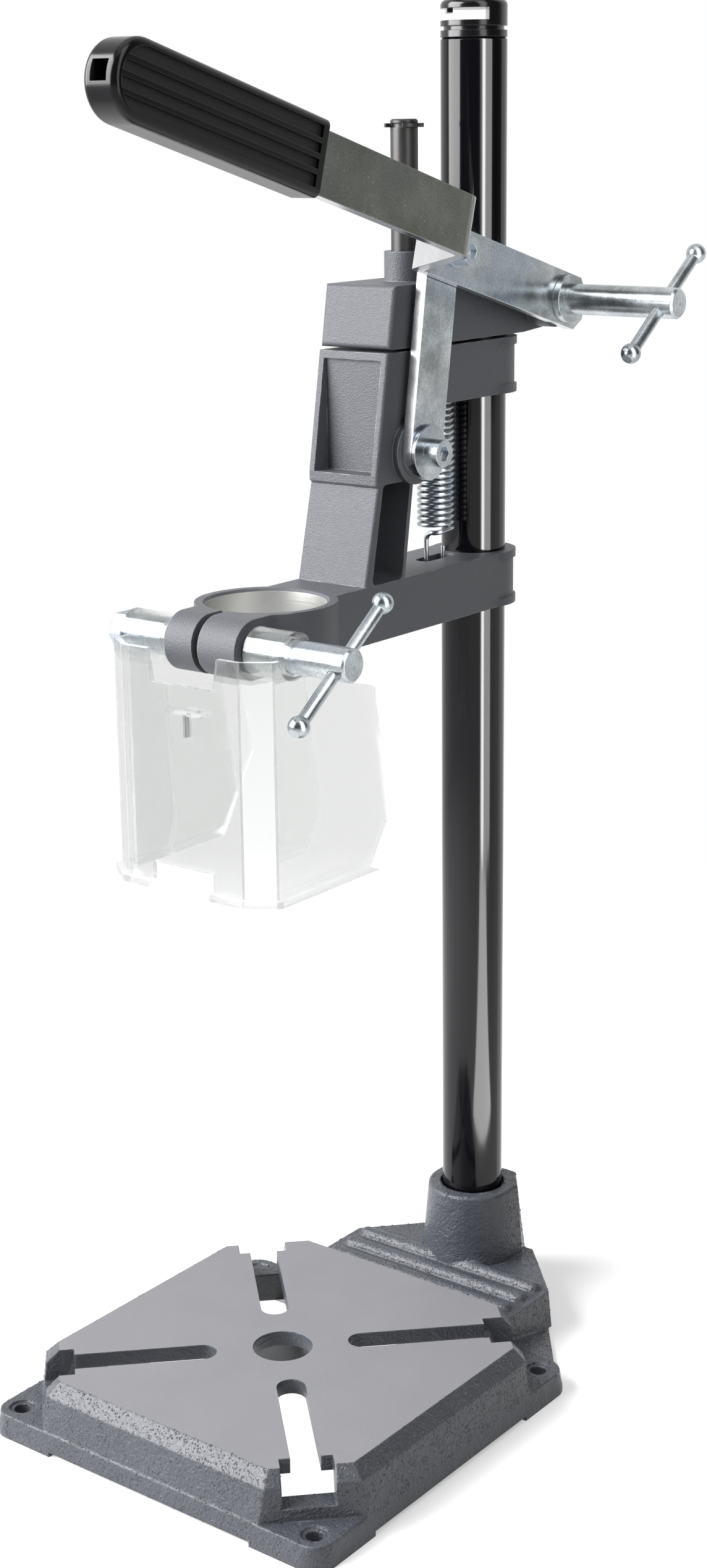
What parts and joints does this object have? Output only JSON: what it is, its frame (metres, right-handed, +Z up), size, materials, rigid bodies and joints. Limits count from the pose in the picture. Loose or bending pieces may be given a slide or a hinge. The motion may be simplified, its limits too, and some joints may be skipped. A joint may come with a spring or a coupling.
{
  "type": "drill stand",
  "caption": "Bench stand for a hand drill: cast slotted base, round column, height bracket and a lever-fed, spring-returned collar carriage with a clear guard.",
  "frame": {"origin": "on the bench under the drill's axis, in the middle of the four bench holes", "axes": "+Z up along the column, the column at +Y, the lever and the screw handles at +X, the guard's front at -Y"},
  "size_m": [0.162, 0.3186, 0.5255],
  "materials": {
    "base_paint": "dark grey paint over rough casting, plate machined bare",
    "head_coat": "dark grey fine-texture coat on a die casting",
    "column_black": "gloss black",
    "dark_steel": "black oxide",
    "dark_screw": "black oxide",
    "zinc": "bright zinc plate",
    "black_plastic": "satin moulded",
    "clear_plastic": "clear moulded"
  },
  "bodies": {
    "stand": {"base_plate": "base_paint", "column_tube": "column_black", "column_cap": "black_plastic", "column_set_screw": "dark_screw"},
    "bracket": {"height_bracket": "head_coat", "bracket_nut": "zinc"},
    "lever": {"lever_bar": "zinc", "lever_grip": "black_plastic", "lever_pin": "zinc", "pin_washer": "zinc"},
    "upper_screw": {"upper_clamp_screw": "zinc", "spindle_washers": "zinc"},
    "upper_bar": {"upper_tommy_bar": "zinc"},
    "carriage": {"carriage": "head_coat", "guide_rod": "dark_steel", "rod_stop_ring": "dark_steel", "return_spring": "zinc", "link_screw": "zinc", "link_washer": "zinc", "clamp_spacers": "zinc", "clamp_nut": "zinc"},
    "link": {"link_bar": "zinc"},
    "lower_screw": {"lower_clamp_screw": "zinc"},
    "lower_bar": {"lower_tommy_bar": "zinc"},
    "guard": {"chip_guard": "clear_plastic", "guard_pin": "dark_steel"}
  },
  "joints": [
    {"name": "bracket_height", "type": "slide", "parent": "stand", "child": "bracket", "axis": [0, 0, 1], "range_m": [-0.14, 0.07]},
    {"name": "lever_pull", "type": "hinge", "parent": "bracket", "child": "lever", "pos_m": [0, 0.1503, 0.4159], "axis": [1, 0, 0], "range_deg": [0, 33.1]},
    {"name": "carriage_feed", "type": "slide", "parent": "bracket", "child": "carriage", "axis": [0, 0, -1], "range_m": [0, 0.0435], "stiffness_N_per_m": 800, "springref_m": -0.03, "deforming": ["return_spring"]},
    {"name": "link_tilt", "type": "hinge", "parent": "carriage", "child": "link", "pos_m": [0, 0.066, 0.3664], "axis": [1, 0, 0], "range_deg": [0, 1.73]},
    {"name": "upper_screw_turn", "type": "hinge", "parent": "bracket", "child": "upper_screw", "pos_m": [0, 0.1503, 0.4159], "axis": [1, 0, 0], "range_deg": [0, 360]},
    {"name": "upper_bar_slide", "type": "slide", "parent": "upper_screw", "child": "upper_bar", "axis": [0, 0.809, 0.5878], "range_m": [-0.019, 0.019]},
    {"name": "lower_screw_turn", "type": "hinge", "parent": "carriage", "child": "lower_screw", "pos_m": [0, -0.0285, 0.30955], "axis": [1, 0, 0], "range_deg": [0, 360]},
    {"name": "lower_bar_slide", "type": "slide", "parent": "lower_screw", "child": "lower_bar", "axis": [0, 0.809, 0.5878], "range_m": [-0.019, 0.019]},
    {"name": "guard_swing", "type": "hinge", "parent": "carriage", "child": "guard", "pos_m": [0, -0.0285, 0.30955], "axis": [-1, 0, 0], "range_deg": [0, 100]}
  ],
  "couplings": [
    {"joint": "carriage_feed", "follows": "lever_pull", "m_per_rad": 0.07525},
    {"joint": "link_tilt", "follows": "lever_pull", "ratio": 0.052}
  ]
}
